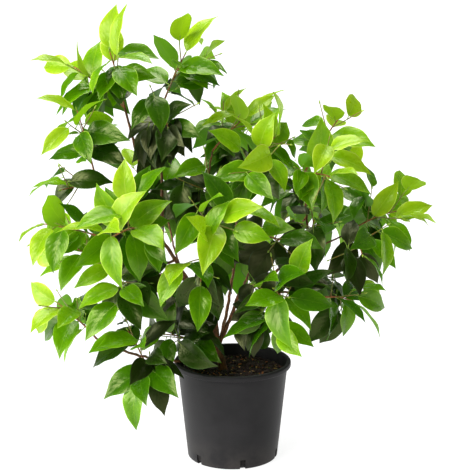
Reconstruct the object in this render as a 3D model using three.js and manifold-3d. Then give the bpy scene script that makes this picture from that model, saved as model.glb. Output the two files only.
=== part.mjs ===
// A young camellia shrub in its nursery pot, in millimetres, +Z up.
// The origin is the centre of the pot's flat underside; +X is to the right and +Y to the back.
import * as THREE from "three";
import { mergeVertices } from "three/addons/utils/BufferGeometryUtils.js";
import Module from "manifold-3d";

const wasm = await Module();
wasm.setup();

// ---------------------------------------------------------------- driving sizes
const UP = new THREE.Vector3(0, 0, 1);
const GAP = 0.3; // clearance wherever two separate pieces meet
const GOLDEN_ANGLE = THREE.MathUtils.degToRad(137.5);

// A 200 mm nursery pot
const POT_HEIGHT = 170;
const RIM_RADIUS = 100;
const LIP_HEIGHT = 9;
const LIP_OVERHANG = 5;
const BASE_RADIUS = 77.5;
const POT_WALL = 1.8;
const POT_FLOOR = 2.4;
const POT_SIDES = 36;
const DRAIN_SLOTS = 6;
const DRAIN_WIDTH = 9.5;
const DRAIN_HEIGHT = 17;
const DRAIN_FIRST_ANGLE = THREE.MathUtils.degToRad(-77);
const SOIL_LEVEL = 150;
const SOIL_LUMP = 2.5;
const LUMP_RADII = [72, 54]; // rings of the mix's top that are lumpy, outside the flat middle
const FLAT_RADIUS = 36;
const PLANT_ROOM = 4; // leaves and twigs keep this clear of the pot, the mix and the floor

// The trunk, from its flat cut on the potting mix to its fork
const TRUNK = { foot: [-16, 8], fork: [-25, 12, 200], radius: 7, flare: 1.7, sides: 12, steps: 5 };
const BOUGH_SIDES = 5;
const BOUGH_STEP = 44; // length of one straight piece of a bough
const BOUGH_TAPER = 0.7; // tip radius as a share of the foot's

// Leaves: an oval blade that narrows to a long drip tip, folded a little along its midrib.
// Each station is [share of the length, half width as a share of the length].
const LEAF_LENGTH = 88;
const LEAF_STATIONS = [[0, 0], [0.42, 0.27], [1, 0]];
const LEAF_THICKNESS = 0.02;
const LEAF_FOLD = 0.2;
const LEAF_TRIES = 8; // ways a leaf may turn: it takes the one farthest from the other leaves
const LEAF_ROOM = 0.4; // least distance between two blades' middles, in leaf lengths
const LEAF_CLEAR = 4.5; // least distance between the sample points of two blades
const LIMB_CLEAR = 5.5; // least distance from a blade's sample points to a limb's skin
const ALONG_SAMPLES = [0.15, 0.28, 0.4, 0.52, 0.64, 0.76, 0.88, 1];
const ACROSS_SAMPLES = [-1, -0.5, 0, 0.5, 1];
const NODE_SPACING = 13; // from one leaf to the next along a stem or twig
const FIRST_LEAF = 0.3; // leaves start this share of the way along a stem or twig
const CROWN_AXIS = [-10, 20]; // leaves turn their faces away from here, and to the light
const LIGHT = [0, -0.3, 0.75];

// Twigs, and the stem that they branch from in each mass
const TWIG_SIDES = 3;
const TWIG_RADIUS = 1.1;
const TWIG_TIP_RADIUS = 0.7;
const TWIG_LENGTHS = [44, 78];
const SHORTEST_TWIG = 22;
const TWIG_TRIES = 4; // ways a twig may turn, and each way it is shortened until it has room
const TWIG_SHARES = [0.3, 0.92]; // twigs leave their stem between these shares of its length
const TWIG_CLEAR = 4; // least distance from a twig to a limb or another mass's stem
const STEM_RADIUS = 1.7;
const STEM_TIP_RADIUS = 0.9;
const STEM_ARCH = 0.04; // rise of a stem's middle, as a share of its length
const STEM_STEPS = 3;
const TRUNK_SPROUT = 0.75; // a stem on the trunk leaves it this share of the way up

// Each mass keeps to a space round a point of its stem
const CELL_CENTRE = 0.62; // share of the stem's length
const CELL_REACH = 1.25; // farthest a mass goes from that point, in spreads
const CELL_MARGIN = 0.6; // half of the least space between two masses

// Boughs. Each grows from a parent, at a share of the parent's length, to its own tip:
// millimetres to the right of, behind and above the pot's centre. arch lifts its middle.
const BOUGHS = {
  left_stem: { from: "trunk", at: 1, tip: [-125, 10, 385], arch: 12, radius: 4.4 },
  left_leader: { from: "left_stem", at: 1, tip: [-179, 20, 600], arch: 0, radius: 3.2 },
  middle_leader: { from: "left_stem", at: 0.93, tip: [-122, 62, 590], arch: -10, radius: 3 },
  shoulder_bough: { from: "left_stem", at: 0.98, tip: [-222, -30, 478], arch: -18, radius: 2.4 },
  left_front_bough: { from: "left_stem", at: 0.72, tip: [-200, -105, 402], arch: -22, radius: 2.6 },
  left_low_bough: { from: "left_stem", at: 0.5, tip: [-185, -25, 309], arch: 14, radius: 2.8 },
  bottom_left_bough: { from: "trunk", at: 0.55, tip: [-225, -66, 226], arch: -22, radius: 3 },
  drooping_bough: { from: "bottom_left_bough", at: 0.55, tip: [-141, -84, 184], arch: 2, radius: 1.9 },
  centre_stem: { from: "trunk", at: 0.97, tip: [-49, 30, 425], arch: 0, radius: 3.8 },
  centre_top_bough: { from: "centre_stem", at: 1, tip: [-34, 34, 525], arch: 0, radius: 2.4 },
  centre_right_bough: { from: "centre_stem", at: 0.96, tip: [28, 0, 500], arch: -12, radius: 2.4 },
  front_bough: { from: "centre_stem", at: 0.55, tip: [-52, -115, 392], arch: -16, radius: 2.6 },
  right_stem: { from: "trunk", at: 0.9, tip: [9, -6, 284], arch: -6, radius: 4.2 },
  right_leader: { from: "right_stem", at: 1, tip: [129, 10, 373], arch: -8, radius: 3.2 },
  right_top_bough: { from: "right_leader", at: 1, tip: [118, 12, 488], arch: 0, radius: 2.5 },
  right_side_bough: { from: "right_leader", at: 0.95, tip: [200, 0, 398], arch: -8, radius: 2.2 },
  right_low_bough: { from: "right_stem", at: 0.95, tip: [146, -58, 296], arch: 10, radius: 2.6 },
  right_front_bough: { from: "right_low_bough", at: 0.45, tip: [92, -120, 292], arch: 6, radius: 2 },
  inner_bough: { from: "right_stem", at: 0.98, tip: [52, -38, 392], arch: -4, radius: 2.6 },
  back_stem: { from: "trunk", at: 0.85, tip: [6, 118, 330], arch: -14, radius: 3.6 },
  back_left_bough: { from: "left_stem", at: 0.55, tip: [-118, 140, 405], arch: -20, radius: 2.4 },
  back_top_bough: { from: "back_stem", at: 1, tip: [8, 152, 478], arch: 0, radius: 2.6 },
  back_right_bough: { from: "back_stem", at: 0.95, tip: [128, 132, 388], arch: -10, radius: 2.4 },
};

// Masses of foliage. Each grows from its bough's tip (or the trunk) to its own stem end,
// and keeps to the space round it, which spread sets against the spread of its neighbours.
const MASSES = {
  top_left: { on: "left_leader", end: [-200, -5, 695], twigs: 3, spread: 95, seed: 337 },
  top_left_shoot: { on: "left_leader", end: [-265, 50, 665], twigs: 2, spread: 95, seed: 743 },
  top_middle: { on: "middle_leader", end: [-80, 50, 685], twigs: 4, spread: 100, seed: 158 },
  upper_front: { on: "middle_leader", end: [-105, -35, 575], twigs: 4, spread: 95, seed: 85 },
  left_shoulder: { on: "shoulder_bough", end: [-250, -55, 605], twigs: 3, spread: 85, seed: 386 },
  shoulder_side: { on: "shoulder_bough", end: [-275, -80, 480], twigs: 3, spread: 75, seed: 283 },
  left_side: { on: "left_front_bough", end: [-300, -110, 430], twigs: 3, spread: 80, seed: 45 },
  front_left: { on: "left_front_bough", end: [-150, -185, 440], twigs: 4, spread: 100, seed: 593 },
  left_low: { on: "left_low_bough", end: [-255, -65, 380], twigs: 4, spread: 95, seed: 73 },
  left_low_front: { on: "left_low_bough", end: [-175, -145, 335], twigs: 3, spread: 95, seed: 557 },
  bottom_left: { on: "bottom_left_bough", end: [-290, -55, 285], twigs: 3, spread: 80, seed: 95 },
  drooping: { on: "drooping_bough", end: [-135, -115, 190], twigs: 2, spread: 85, seed: 286 },
  bottom_left_inner: { on: "drooping_bough", end: [-170, -100, 250], twigs: 3, spread: 85, seed: 462 },
  low_centre: { on: "trunk", end: [-125, -50, 230], twigs: 3, spread: 100, seed: 651 },
  centre_top: { on: "centre_top_bough", end: [20, 45, 580], twigs: 4, spread: 95, seed: 515 },
  centre_right_top: { on: "centre_right_bough", end: [70, -35, 560], twigs: 4, spread: 95, seed: 1 },
  centre_right_front: { on: "centre_right_bough", end: [45, -95, 510], twigs: 4, spread: 95, seed: 124 },
  front_centre: { on: "front_bough", end: [-20, -185, 455], twigs: 4, spread: 90, seed: 729 },
  front_low_centre: { on: "front_bough", end: [-50, -155, 345], twigs: 3, spread: 85, seed: 117 },
  lower_right: { on: "right_front_bough", end: [65, -175, 340], twigs: 4, spread: 90, seed: 434 },
  inner_right: { on: "inner_bough", end: [80, -95, 400], twigs: 4, spread: 90, seed: 428 },
  inner_top: { on: "centre_stem", end: [-35, -60, 495], twigs: 4, spread: 85, seed: 872 },
  inner_side: { on: "right_leader", end: [135, -45, 425], twigs: 4, spread: 95, seed: 706 },
  right_top: { on: "right_top_bough", end: [180, 25, 585], twigs: 4, spread: 80, seed: 110 },
  right_top_front: { on: "right_top_bough", end: [155, -105, 505], twigs: 4, spread: 90, seed: 354 },
  right_side: { on: "right_side_bough", end: [280, 45, 420], twigs: 4, spread: 95, seed: 639 },
  right_side_low: { on: "right_side_bough", end: [210, -90, 375], twigs: 3, spread: 85, seed: 800 },
  right_low: { on: "right_low_bough", end: [200, -20, 280], twigs: 4, spread: 85, seed: 130 },
  front_right_low: { on: "right_front_bough", end: [70, -130, 280], twigs: 3, spread: 85, seed: 162 },
  back_left: { on: "back_left_bough", end: [-140, 200, 435], twigs: 4, spread: 95, seed: 602 },
  back_low: { on: "back_stem", end: [10, 220, 335], twigs: 4, spread: 105, seed: 549 },
  back_top: { on: "back_top_bough", end: [0, 175, 540], twigs: 4, spread: 110, seed: 547 },
  back_right: { on: "back_right_bough", end: [155, 200, 420], twigs: 4, spread: 120, seed: 676 },
};

const COLOURS = { leaf: 0x4f9a10, bark: 0x6b4a2c, pot: 0x3c3b3c, soil: 0x21160e };

// ---------------------------------------------------------------- small helpers
const vector = (numbers) => new THREE.Vector3(...numbers);

/** A repeatable stream of numbers from 0 to 1. */
function seededRandom(seed) {
  let state = (seed * 7919 + 12345) >>> 0;
  const next = () => {
    state = (Math.imul(state, 1664525) + 1013904223) >>> 0;
    return state / 4294967296;
  };
  next();
  return next;
}

/** The part of v that is square to axis, at length 1. */
function squareTo(v, axis) {
  return v.clone().addScaledVector(axis, -v.dot(axis)).normalize();
}

/** A closed geometry as a solid that can be cut and joined. */
function solid(geometry) {
  const bare = geometry.clone();
  bare.deleteAttribute("normal");
  bare.deleteAttribute("uv");
  const merged = mergeVertices(bare, 1e-4);
  return new wasm.Manifold(
    new wasm.Mesh({
      numProp: 3,
      vertProperties: merged.attributes.position.array,
      triVerts: new Uint32Array(merged.index.array),
    }),
  );
}

/** A solid's largest connected body, as a named mesh. */
function meshOf(name, shape, colour, roughness) {
  const largest = shape.decompose().reduce((a, b) => (a.volume() > b.volume() ? a : b));
  const { vertProperties, triVerts } = largest.getMesh();
  const geometry = new THREE.BufferGeometry();
  geometry.setAttribute("position", new THREE.BufferAttribute(vertProperties, 3));
  geometry.setIndex(new THREE.BufferAttribute(triVerts, 1));
  geometry.computeVertexNormals();
  const mesh = new THREE.Mesh(
    geometry,
    new THREE.MeshStandardMaterial({ color: colour, roughness, metalness: 0 }),
  );
  mesh.name = name;
  return mesh;
}

// ---------------------------------------------------------------- limbs
/** A curved limb: its centre line and how thick it is from foot to tip. */
function limb(foot, tip, arch, radius, tipRadius) {
  const middle = foot.clone().lerp(tip, 0.5).addScaledVector(UP, arch * 2);
  const curve = new THREE.QuadraticBezierCurve3(foot, middle, tip);
  const length = foot.distanceTo(tip);
  const radiusAt = (t) => radius + (tipRadius - radius) * t;
  return { curve, length, radiusAt };
}

/** Points down the middle of a limb, close enough together to stand for it. */
function beads(piece) {
  const count = Math.ceil(piece.length / 4);
  return Array.from({ length: count + 1 }, (_, i) => ({
    centre: piece.curve.getPoint(i / count),
    radius: piece.radiusAt(i / count),
  }));
}

/** A tapering tube along a limb, grown by extra all over. */
function tube(piece, sides, steps, extra = 0) {
  const geometry = new THREE.CylinderGeometry(1, 1, 1, sides, steps);
  const position = geometry.attributes.position;
  const chord = piece.curve.v2.clone().sub(piece.curve.v0).normalize();
  const reference = Math.abs(chord.z) > 0.7 ? vector([1, 0, 0]) : UP;
  for (let i = 0; i < position.count; i++) {
    const t = position.getY(i) + 0.5;
    const along = piece.curve.getTangent(t);
    const across = new THREE.Vector3().crossVectors(reference, along).normalize();
    const third = new THREE.Vector3().crossVectors(across, along);
    const onSkin = Math.hypot(position.getX(i), position.getZ(i)) > 0.5;
    const radius = onSkin ? piece.radiusAt(t) + extra : 0;
    const turn = Math.atan2(position.getZ(i), position.getX(i));
    const atEnd = (t === 1 ? 1 : 0) - (t === 0 ? 1 : 0);
    const point = piece.curve
      .getPoint(t)
      .addScaledVector(along, atEnd * extra)
      .addScaledVector(across, Math.cos(turn) * radius)
      .addScaledVector(third, Math.sin(turn) * radius);
    position.setXYZ(i, point.x, point.y, point.z);
  }
  return solid(geometry);
}

/** The trunk, with a flared foot, leaning to its fork. */
function trunkLimb() {
  const foot = vector([...TRUNK.foot, SOIL_LEVEL - TRUNK.radius]);
  const flare = (t) => 1 + (TRUNK.flare - 1) * Math.exp(-t * 6);
  const piece = limb(foot, vector(TRUNK.fork), 0, TRUNK.radius, TRUNK.radius);
  piece.radiusAt = (t) => TRUNK.radius * (1 - 0.2 * t) * flare(t);
  return piece;
}

/** Every bough as a limb, each footed on its parent's centre line. */
function growBoughs() {
  const limbs = { trunk: trunkLimb() };
  for (const [name, bough] of Object.entries(BOUGHS)) {
    const foot = limbs[bough.from].curve.getPoint(bough.at);
    limbs[name] = limb(foot, vector(bough.tip), bough.arch, bough.radius, bough.radius * BOUGH_TAPER);
  }
  return limbs;
}

// ---------------------------------------------------------------- foliage
/** How far inside its own space a point of a mass lies. The spaces share the crown out. */
function depthInSpace(point, own, spaces) {
  const reach = (space) => point.distanceToSquared(space.centre) - space.spread ** 2;
  const ownReach = reach(own);
  let depth = own.spread * CELL_REACH - point.distanceTo(own.centre);
  for (const other of spaces) {
    if (other === own) continue;
    const between = 2 * own.centre.distanceTo(other.centre);
    depth = Math.min(depth, (reach(other) - ownReach) / between);
  }
  return depth;
}

/** True if a point is too close to the pot, its mix or the floor. */
function inPot(point) {
  const reach = Math.hypot(point.x, point.y);
  const top = reach > RIM_RADIUS - 12 ? POT_HEIGHT : SOIL_LEVEL;
  const clear = reach > RIM_RADIUS + PLANT_ROOM || point.z > top + PLANT_ROOM;
  return point.z < PLANT_ROOM || !clear;
}

/** Sample points over a leaf's blade, from its axil to its tip. */
function leafPoints(leaf) {
  return ALONG_SAMPLES.flatMap((along) =>
    ACROSS_SAMPLES.map((across) => leafPoint(leaf, along, across * halfWidth(along))),
  );
}

/** Half the blade's width at a share of its length, as a share of its length. */
function halfWidth(along) {
  const next = LEAF_STATIONS.findIndex(([at]) => at >= along - 1e-9);
  if (next === 0) return 0;
  const [[a, wa], [b, wb]] = LEAF_STATIONS.slice(next - 1, next + 1);
  return wa + ((wb - wa) * (along - a)) / (b - a);
}

/** A point of the blade: a share along the midrib and a signed share of the length to its side. */
function leafPoint(leaf, along, side, lift = 0) {
  const { foot, forward, across, face, length, curl } = leaf;
  return foot
    .clone()
    .addScaledVector(forward, length * along)
    .addScaledVector(across, length * side)
    .addScaledVector(face, length * (Math.abs(side) * LEAF_FOLD - curl * along * along + lift));
}

/** True if any of the points is too close to a limb, given as its beads. */
function touches(points, beadList) {
  return points.some((p) =>
    beadList.some(({ centre, radius }) => p.distanceToSquared(centre) < (radius + LIMB_CLEAR) ** 2),
  );
}

/** A leaf at the axil foot: it leaves its axis at an angle and droops, with its face to the light. */
function makeLeaf(foot, axis, turn, tilt, droop, length, roll, curl) {
  const start = squareTo(Math.abs(axis.z) > 0.9 ? vector([1, 0, 0]) : UP, axis);
  const side = start.applyAxisAngle(axis, turn);
  const forward = axis
    .clone()
    .multiplyScalar(Math.cos(tilt))
    .addScaledVector(side, Math.sin(tilt))
    .addScaledVector(UP, -droop)
    .normalize();
  const outward = vector([foot.x - CROWN_AXIS[0], foot.y - CROWN_AXIS[1], 0]).normalize();
  const light = outward.multiplyScalar(0.35).add(vector(LIGHT)).addScaledVector(axis, 0.15);
  const face = squareTo(light, forward).applyAxisAngle(forward, roll);
  const across = new THREE.Vector3().crossVectors(forward, face);
  return { foot, forward, across, face, length, curl };
}

/** The leaves of one stem or twig: the tip's leaf carries it on, and the rest wind round it. */
function growLeaves(piece, random, roomOf, leaves) {
  const count = Math.max(3, Math.round((piece.length * (1 - FIRST_LEAF)) / NODE_SPACING) + 1);
  const phase = random() * 2 * Math.PI;
  for (let i = 0; i < count; i++) {
    const share = (count - 1 - i) / (count - 1); // the tip comes first
    const at = FIRST_LEAF + (1 - FIRST_LEAF) * share * 0.985;
    const axis = piece.curve.getTangent(at);
    const foot = piece.curve.getPoint(at).addScaledVector(axis, -0.5);
    let best = null;
    let mostRoom = 0;
    for (let attempt = 0; attempt < LEAF_TRIES; attempt++) {
      const turn = phase + i * GOLDEN_ANGLE + attempt * (0.5 + random());
      const tilt = i === 0 ? 0.8 * random() : 0.65 + 0.65 * random();
      const droop = i === 0 ? 0.35 * random() : 0.25 + 0.7 * random();
      const length = LEAF_LENGTH * (0.84 + 0.26 * random() - 0.02 * attempt);
      const roll = (random() - 0.5) * 1.4;
      const curl = 0.08 + 0.14 * random();
      const leaf = makeLeaf(foot, axis, turn, tilt, droop, length, roll, curl);
      const room = roomOf(leaf);
      if (room > mostRoom) {
        mostRoom = room;
        best = { ...leaf, share };
      }
    }
    if (best) leaves.push(best);
  }
}

/** A side twig from a stem, or null if it has no room. */
function growTwig(stem, at, turn, random, roomFor) {
  const axis = stem.curve.getTangent(at);
  const start = squareTo(Math.abs(axis.z) > 0.9 ? vector([1, 0, 0]) : UP, axis);
  const foot = stem.curve.getPoint(at);
  const longest = THREE.MathUtils.lerp(...TWIG_LENGTHS, random());
  for (let attempt = 0; attempt < TWIG_TRIES; attempt++) {
    const direction = start
      .clone()
      .applyAxisAngle(axis, turn + attempt * 1.1)
      .multiplyScalar(0.75)
      .addScaledVector(axis, 0.6)
      .addScaledVector(UP, 0.15)
      .normalize();
    for (let length = longest; length > SHORTEST_TWIG; length *= 0.8) {
      const tip = foot.clone().addScaledVector(direction, length);
      const twig = limb(foot, tip, 0, TWIG_RADIUS, TWIG_TIP_RADIUS);
      if (roomFor(beads(twig).slice(2))) return twig;
    }
  }
  return null;
}

/** Each mass's stem, from its bough's tip or the trunk, and the middle of the space it keeps to. */
function growStems(limbs) {
  return Object.entries(MASSES).map(([name, mass]) => {
    const parent = limbs[mass.on];
    const start = parent.curve.getPoint(mass.on === "trunk" ? TRUNK_SPROUT : 1);
    const end = vector(mass.end);
    const radius = Math.min(STEM_RADIUS, parent.radiusAt(1));
    const stem = limb(start, end, start.distanceTo(end) * STEM_ARCH, radius, STEM_TIP_RADIUS);
    return { name, ...mass, stem, centre: stem.curve.getPoint(CELL_CENTRE) };
  });
}

/** One mass: twigs along its stem, then leaves along them all, each kept where there is room. */
function growMass(mass, masses, limbBeads) {
  const random = seededRandom(mass.seed);
  const axes = [mass.stem];
  const leaves = [];
  const nearby = limbBeads
    .concat(...masses.filter((other) => other !== mass).map((other) => beads(other.stem)))
    .filter((bead) => bead.centre.distanceTo(mass.centre) < mass.spread * CELL_REACH + 40);
  const inside = (point, margin) => depthInSpace(point, mass, masses) > margin && !inPot(point);
  const roomForTwig = (list) =>
    list.every(({ centre }) => inside(centre, 3)) &&
    !list.some(({ centre }) =>
      nearby.some((bead) => centre.distanceTo(bead.centre) < bead.radius + TWIG_RADIUS + TWIG_CLEAR));
  const phase = random() * 2 * Math.PI;
  for (let k = 0; k < mass.twigs; k++) {
    const at = THREE.MathUtils.lerp(...TWIG_SHARES, (k + random() * 0.6) / mass.twigs);
    const twig = growTwig(mass.stem, at, phase + k * GOLDEN_ANGLE, random, roomForTwig);
    if (twig) axes.push(twig);
  }
  for (const axis of axes) {
    const others = nearby.concat(...axes.filter((other) => other !== axis).map(beads));
    const roomOf = (leaf) => {
      const middle = leafPoint(leaf, 0.5, 0);
      const closest = leaves.reduce(
        (least, other) => Math.min(least, leafPoint(other, 0.5, 0).distanceTo(middle)),
        leaf.length,
      );
      if (closest < leaf.length * LEAF_ROOM || !inside(leaf.foot, 1.5)) return 0;
      const points = leafPoints(leaf);
      if (!points.every((p) => inside(p, CELL_MARGIN))) return 0;
      const blade = points.filter((p) => p.distanceTo(leaf.foot) > leaf.length * 0.2);
      if (touches(blade, others)) return 0;
      const near = leaves.filter((other) => other.foot.distanceTo(leaf.foot) < 2 * LEAF_LENGTH);
      const crosses = near.some((other) =>
        other.blade.some((q) => blade.some((p) => p.distanceToSquared(q) < LEAF_CLEAR ** 2)));
      if (crosses) return 0;
      leaf.blade = blade;
      return closest;
    };
    growLeaves(axis, random, roomOf, leaves);
  }
  return { ...mass, axes, leaves };
}

/** A leaf's solid: a coarse sphere pulled out into the blade. */
function leafSolid(leaf) {
  const rings = LEAF_STATIONS.length - 1;
  const geometry = new THREE.SphereGeometry(1, 4, rings);
  const position = geometry.attributes.position;
  for (let i = 0; i < position.count; i++) {
    const polar = Math.acos(THREE.MathUtils.clamp(position.getY(i), -1, 1));
    const ring = Math.round((polar / Math.PI) * rings);
    const [along, half] = LEAF_STATIONS[rings - ring];
    const reach = Math.hypot(position.getX(i), position.getZ(i)) || 1;
    const side = Math.round(position.getX(i) / reach) * half;
    const lift = (Math.round(position.getZ(i) / reach) * LEAF_THICKNESS) / 2;
    const point = leafPoint(leaf, along, side, half ? lift : 0);
    position.setXYZ(i, point.x, point.y, point.z);
  }
  return solid(geometry);
}

/** A mass of foliage as one solid: its stem, twigs and leaves joined. */
function massSolid(mass) {
  const pieces = mass.axes.map((axis, i) => tube(axis, TWIG_SIDES, i === 0 ? STEM_STEPS : 1));
  pieces.push(...mass.leaves.map(leafSolid));
  return wasm.Manifold.union(pieces);
}

// ---------------------------------------------------------------- pot and mix
/** A solid of revolution from [radius, height] points that start and end on the axis, or close. */
function turned(profile, sides) {
  const geometry = new THREE.LatheGeometry(profile.map(([r, z]) => new THREE.Vector2(r, z)), sides);
  return solid(geometry.rotateX(Math.PI / 2));
}

/** The inside radius of the pot at a height. */
const potBore = (z) =>
  BASE_RADIUS + ((RIM_RADIUS - LIP_OVERHANG - BASE_RADIUS) * z) / POT_HEIGHT - POT_WALL;

function potSolid() {
  const bodyTop = RIM_RADIUS - LIP_OVERHANG;
  const lipFoot = POT_HEIGHT - LIP_HEIGHT;
  const profile = [
    [0, 0],
    [BASE_RADIUS - 3, 0],
    [BASE_RADIUS, 3],
    [bodyTop - 1, lipFoot],
    [RIM_RADIUS - 0.8, lipFoot],
    [RIM_RADIUS, lipFoot + 2],
    [RIM_RADIUS, POT_HEIGHT - 2.5],
    [RIM_RADIUS - 1.5, POT_HEIGHT],
    [bodyTop - 0.5, POT_HEIGHT],
    [potBore(POT_HEIGHT) - 0.4, POT_HEIGHT - 2.5],
    [potBore(POT_FLOOR + 3), POT_FLOOR + 3],
    [potBore(POT_FLOOR) - 3, POT_FLOOR],
    [0, POT_FLOOR],
  ];
  let pot = turned(profile, POT_SIDES);
  for (let i = 0; i < DRAIN_SLOTS; i++) {
    const slot = new THREE.BoxGeometry(16, DRAIN_WIDTH, DRAIN_HEIGHT * 2);
    slot.translate(BASE_RADIUS, 0, 0);
    slot.rotateZ(DRAIN_FIRST_ANGLE + (i * 2 * Math.PI) / DRAIN_SLOTS);
    pot = pot.subtract(solid(slot));
  }
  return pot;
}

/** The potting mix: it fills the pot, with a lumpy top that is flat under the trunk. */
function soilSolid() {
  const bottom = POT_FLOOR + GAP;
  const profile = [
    [0, bottom],
    [potBore(bottom) - 3 - GAP, bottom],
    [potBore(bottom + 3) - GAP, bottom + 3],
    [potBore(SOIL_LEVEL) - 1.2 * GAP, SOIL_LEVEL],
    ...LUMP_RADII.map((radius) => [radius, SOIL_LEVEL]),
    [FLAT_RADIUS, SOIL_LEVEL],
    [0, SOIL_LEVEL],
  ];
  const outline = profile.map(([r, z]) => new THREE.Vector2(r, z));
  const geometry = new THREE.LatheGeometry(outline, POT_SIDES / 2);
  geometry.rotateX(Math.PI / 2);
  const position = geometry.attributes.position;
  for (let i = 0; i < position.count; i++) {
    const reach = Math.hypot(position.getX(i), position.getY(i));
    if (position.getZ(i) < SOIL_LEVEL - 1 || reach < FLAT_RADIUS + 1) continue;
    const lump = Math.sin(position.getX(i) * 0.31) * Math.cos(position.getY(i) * 0.27);
    position.setZ(i, position.getZ(i) + lump * SOIL_LUMP);
  }
  return solid(geometry);
}

// ---------------------------------------------------------------- assembly
const shrub = new THREE.Group();
shrub.add(meshOf("pot", potSolid(), COLOURS.pot, 0.6));
shrub.add(meshOf("potting_mix", soilSolid(), COLOURS.soil, 1));

const limbs = growBoughs();
const ground = new THREE.BoxGeometry(2 * RIM_RADIUS, 2 * RIM_RADIUS, 2 * SOIL_LEVEL);
const cutters = [solid(ground.translate(0, 0, GAP))]; // gives the trunk its flat foot
for (const [name, piece] of Object.entries(limbs)) {
  const trunk = name === "trunk";
  const sides = trunk ? TRUNK.sides : BOUGH_SIDES;
  const steps = trunk ? TRUNK.steps : Math.max(3, Math.round(piece.length / BOUGH_STEP));
  let shape = tube(piece, sides, steps);
  for (const cutter of cutters) shape = shape.subtract(cutter);
  cutters.push(tube(piece, sides, steps, GAP));
  shrub.add(meshOf(name, shape, COLOURS.bark, 0.8));
}

const stems = growStems(limbs);
const limbBeads = Object.values(limbs).flatMap(beads);
const masses = stems.map((mass) => growMass(mass, stems, limbBeads));
for (const mass of masses) {
  let shape = massSolid(mass);
  for (const cutter of cutters) shape = shape.subtract(cutter);
  cutters.push(tube(mass.stem, TWIG_SIDES, STEM_STEPS, GAP));
  shrub.add(meshOf(`foliage_${mass.name}`, shape, COLOURS.leaf, 0.45));
}

export default shrub;
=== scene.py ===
"""A young camellia shrub in its nursery pot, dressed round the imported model.

The shrub grows again here by the same seeded rule as its solids, and is carried on to finer
twigs, smaller leaves, leaf stalks and buds. Lengths are in millimetres until a mesh is made.
"""

import math

import bmesh
import bpy
import numpy as np
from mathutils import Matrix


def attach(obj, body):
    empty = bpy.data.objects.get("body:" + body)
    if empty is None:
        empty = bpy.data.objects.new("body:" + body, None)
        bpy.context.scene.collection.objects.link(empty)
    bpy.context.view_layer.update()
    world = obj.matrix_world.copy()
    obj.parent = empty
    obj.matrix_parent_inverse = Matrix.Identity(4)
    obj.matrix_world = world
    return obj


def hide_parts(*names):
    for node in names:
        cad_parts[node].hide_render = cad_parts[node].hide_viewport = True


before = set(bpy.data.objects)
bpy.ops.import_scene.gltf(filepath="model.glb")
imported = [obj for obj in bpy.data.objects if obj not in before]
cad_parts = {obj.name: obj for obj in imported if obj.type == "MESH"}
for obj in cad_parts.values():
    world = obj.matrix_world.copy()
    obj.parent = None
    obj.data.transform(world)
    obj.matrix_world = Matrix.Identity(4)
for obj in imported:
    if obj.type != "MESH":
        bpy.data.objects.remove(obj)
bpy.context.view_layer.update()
MM = 0.001

# -------- driving sizes of the shrub
UP = np.array([0.0, 0.0, 1.0])
SIDEWAYS = np.array([1.0, 0.0, 0.0])
GOLDEN_ANGLE = math.radians(137.5)

POT_HEIGHT = 170
RIM_RADIUS = 100
LIP_HEIGHT = 9
LIP_OVERHANG = 5
BASE_RADIUS = 77.5
POT_WALL = 1.8
POT_FLOOR = 2.4
DRAIN_SLOTS = 6
DRAIN_WIDTH = 9.5
DRAIN_HEIGHT = 17
DRAIN_DEPTH = 16
DRAIN_FIRST_ANGLE = math.radians(-77)
FOOT_ROUND = 3
SOIL_LEVEL = 150
SOIL_CLEAR = 0.4
SOIL_CRUMB = 0.55
PLANT_ROOM = 4
RIM_REACH = 12  # this far inside the rim the plant already stays above the pot's top

TRUNK_FOOT = (-16, 8)
TRUNK_FORK = (-25, 12, 200)
TRUNK_RADIUS = 7
TRUNK_FLARE = 1.7
TRUNK_TAPER = 0.2
FLARE_FADE = 6
BOUGH_TAPER = 0.7
BEAD_SPACING = 4
STEEP = 0.9  # an axis this steep measures its turns from SIDEWAYS rather than from UP

LEAF_LENGTH = 88
LEAF_STATIONS = ((0, 0), (0.42, 0.27), (1, 0))
LEAF_FOLD = 0.2
LEAF_TRIES = 8
LEAF_ROOM = 0.4
LEAF_CLEAR = 4.5
LIMB_CLEAR = 5.5
ALONG_SAMPLES = (0.15, 0.28, 0.4, 0.52, 0.64, 0.76, 0.88, 1)
ACROSS_SAMPLES = (-1, -0.5, 0, 0.5, 1)
NODE_SPACING = 13
FIRST_LEAF = 0.3
LAST_LEAF = 0.985
AXIL_DEPTH = 0.5
AXIL_MARGIN = 1.5
STALK_SHARE = 0.2
CROWN_AXIS = (-10, 20)
CROWN_MIDDLE = (-10, 20, 330)
LIGHT = np.array([0, -0.3, 0.75])
LIGHT_OUTWARD = 0.35
LIGHT_ALONG = 0.15

# How leaves stand, in radians and shares: the least, and what chance adds to it
TIP_TILT = 0.8
TIP_DROOP = 0.35
SIDE_TILT, SIDE_TILT_MORE = 0.65, 0.65
SIDE_DROOP, SIDE_DROOP_MORE = 0.25, 0.7
LEAF_SIZE, LEAF_SIZE_MORE, LEAF_SIZE_LOST = 0.84, 0.26, 0.02
LEAF_CURL, LEAF_CURL_MORE = 0.08, 0.14
LEAF_ROLL = 1.4
LEAF_TURN = 0.5

TWIG_RADIUS = 1.1
TWIG_TIP_RADIUS = 0.7
TWIG_LENGTHS = (44, 78)
SHORTEST_TWIG = 22
TWIG_TRIES = 4
TWIG_SHARES = (0.3, 0.92)
TWIG_STRAY = 0.6
TWIG_TURN = 1.1
TWIG_HEADING = (0.75, 0.6, 0.15)  # sideways, along the stem and up
TWIG_SHORTER = 0.8
TWIG_CLEAR = 4
TWIG_MARGIN = 3
STEM_RADIUS = 1.7
STEM_TIP_RADIUS = 0.9
STEM_ARCH = 0.04
TRUNK_SPROUT = 0.75

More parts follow.
